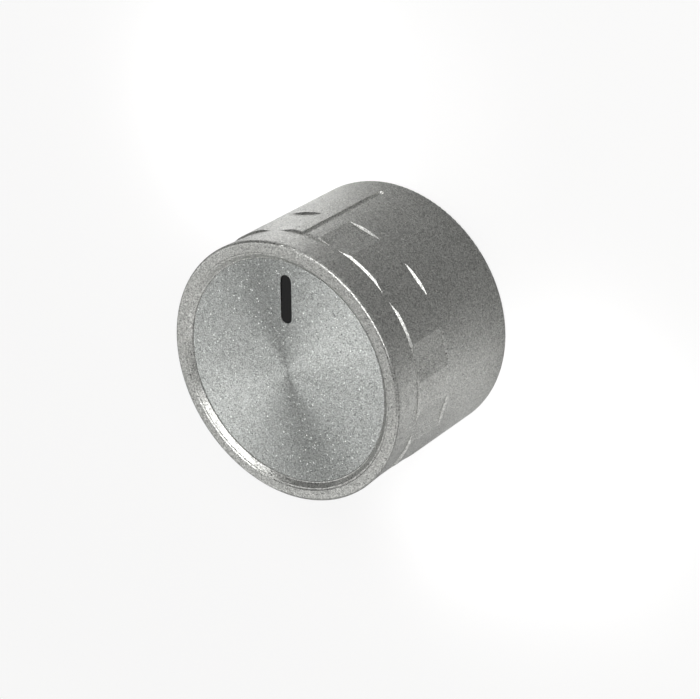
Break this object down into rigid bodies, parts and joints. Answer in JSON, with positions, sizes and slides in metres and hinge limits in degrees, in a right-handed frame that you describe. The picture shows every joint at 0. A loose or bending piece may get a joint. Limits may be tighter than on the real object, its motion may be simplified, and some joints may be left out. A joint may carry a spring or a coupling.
{
  "type": "stove knob",
  "caption": "Round push-on stove knob: plain skirt, shallow grip hollows at the shoulder, dished metal face disc in a bevelled bezel, dark pointer bar, hub for a D-shaped spindle.",
  "frame": {"origin": "on the spindle axis, in the plane of the rear rim that faces the cooker panel", "axes": "+Z along the knob axis, out of the panel towards the user; +Y from the axis towards the pointer; +X to the right of the pointer seen from the front with the pointer up"},
  "size_m": [0.04, 0.04, 0.0278],
  "materials": {
    "silver_paint": "moulded plastic in satin silver metallic paint",
    "turned_aluminium": "fine circular turning marks, satin",
    "black_inlay": "satin black",
    "spring_steel": "bright rolled strip"
  },
  "bodies": {
    "root": {"knob_body": "silver_paint", "face_disc": "turned_aluminium", "pointer_inlay": "black_inlay", "hub_clip": "spring_steel"}
  },
  "joints": []
}
